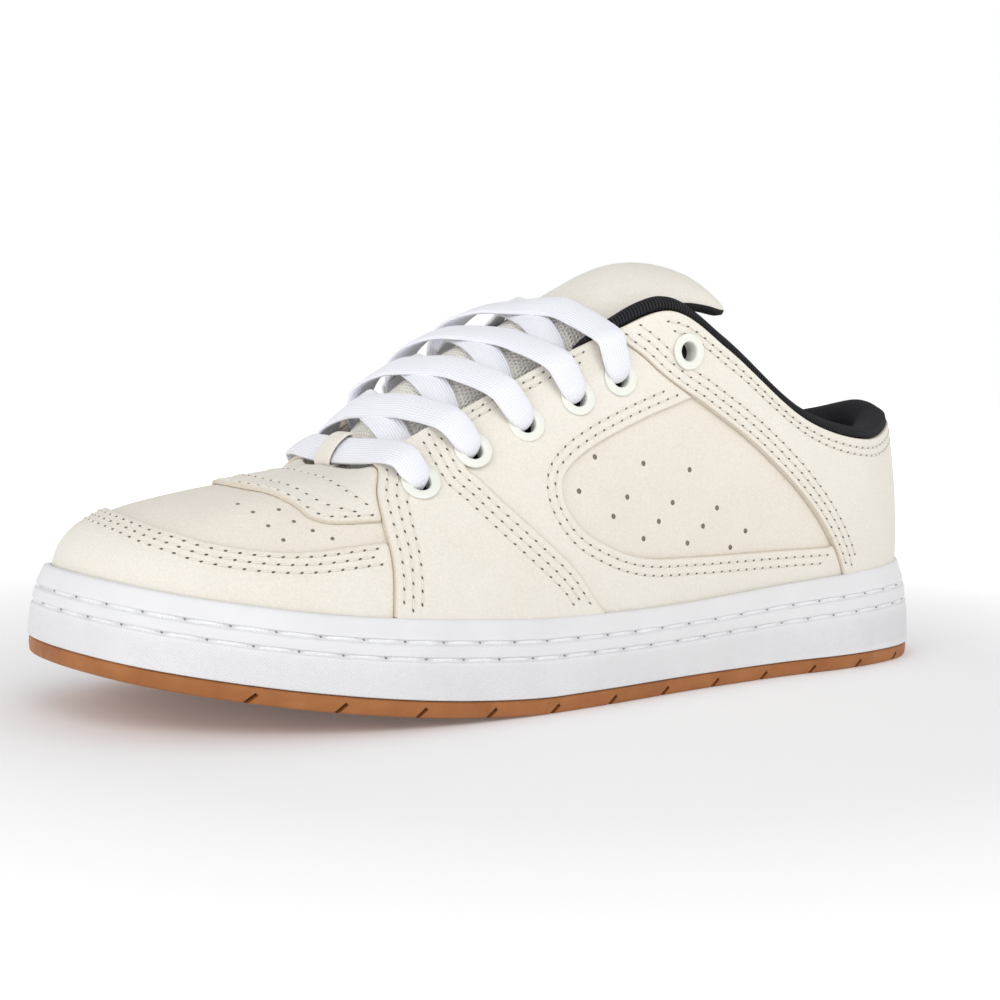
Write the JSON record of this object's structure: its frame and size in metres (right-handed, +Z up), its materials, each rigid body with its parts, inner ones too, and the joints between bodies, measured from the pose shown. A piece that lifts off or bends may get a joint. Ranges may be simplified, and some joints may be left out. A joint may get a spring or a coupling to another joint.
{
  "type": "skateboarding shoe",
  "caption": "Low lace-up skate shoe with a suede upper, padded collar and tongue, stitched cup sole and gum tread.",
  "frame": {"origin": "on the floor, at the middle of the whole shoe's box", "axes": "+X from the heel to the toe, +Y to the lateral (outer) side of this left shoe, +Z up"},
  "size_m": [0.3014, 0.1096, 0.1283],
  "materials": {
    "gum": "satin natural gum",
    "cup": "satin white moulding",
    "suede": "napped off-white suede",
    "knit": "ribbed knit, padded",
    "lining": "black ribbed lining",
    "foam": "cloth over foam",
    "lace": "flat woven",
    "eyelet": "satin off-white"
  },
  "bodies": {
    "root": {"outsole": "gum", "cup": "cup", "insole": "foam", "upper": "suede", "toe_cap": "suede", "vamp_arch": "suede", "saddle_lateral": "suede", "saddle_medial": "suede", "eyestay_lateral": "suede", "eyestay_medial": "suede", "rear_panel": "suede", "collar_lining": "lining", "tongue": "knit", "lace_bar": "lace", "lace_crossing_1": "lace", "lace_crossing_2": "lace", "lace_crossing_3": "lace", "lace_crossing_4": "lace", "lace_loop": "suede", "eyelet_lateral_1": "eyelet", "eyelet_lateral_2": "eyelet", "eyelet_lateral_3": "eyelet", "eyelet_lateral_4": "eyelet", "eyelet_lateral_5": "eyelet", "eyelet_lateral_6": "eyelet", "eyelet_medial_1": "eyelet", "eyelet_medial_2": "eyelet", "eyelet_medial_3": "eyelet", "eyelet_medial_4": "eyelet", "eyelet_medial_5": "eyelet", "eyelet_medial_6": "eyelet"}
  },
  "joints": []
}
